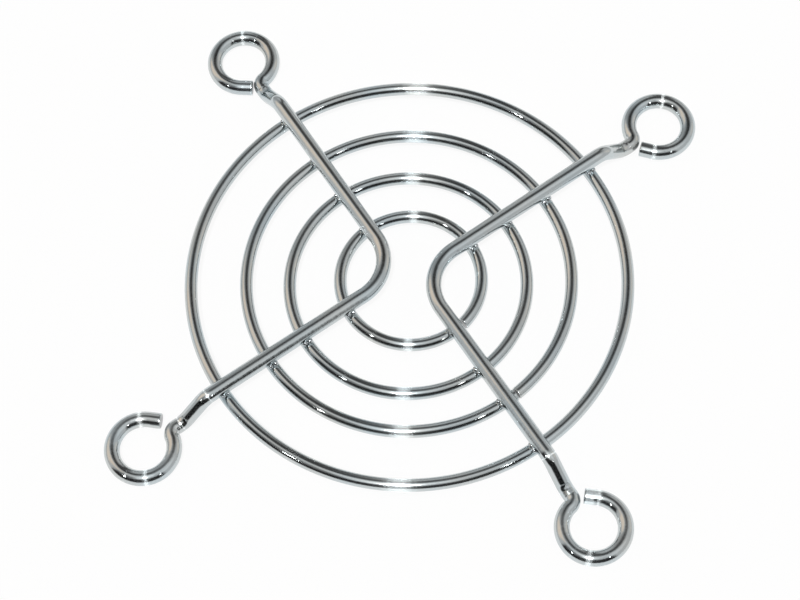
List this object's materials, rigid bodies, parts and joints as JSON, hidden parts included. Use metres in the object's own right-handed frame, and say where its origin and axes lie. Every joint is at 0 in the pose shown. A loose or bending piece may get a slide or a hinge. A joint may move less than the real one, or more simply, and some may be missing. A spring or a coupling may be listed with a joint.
{
  "type": "wire fan guard",
  "caption": "Round wire grille of concentric rings welded under two V shaped mounting wires, whose legs step down and end in screw eyes, for an axial cooling fan.",
  "frame": {"origin": "middle of the four screw holes, on the face of the fan that the eyes stand on", "axes": "+Z away from the fan, +X and +Y along the sides of the square of screw holes; the two V's open towards -X and +X"},
  "size_m": [0.0586, 0.0586, 0.0044],
  "materials": {
    "ring_wire": "bright chrome or nickel plated steel wire",
    "mounting_wire": "bright chrome or nickel plated steel wire"
  },
  "bodies": {
    "root": {"inner_ring": "ring_wire", "second_ring": "ring_wire", "third_ring": "ring_wire", "outer_ring": "ring_wire", "left_mounting_wire": "mounting_wire", "right_mounting_wire": "mounting_wire"}
  },
  "joints": []
}
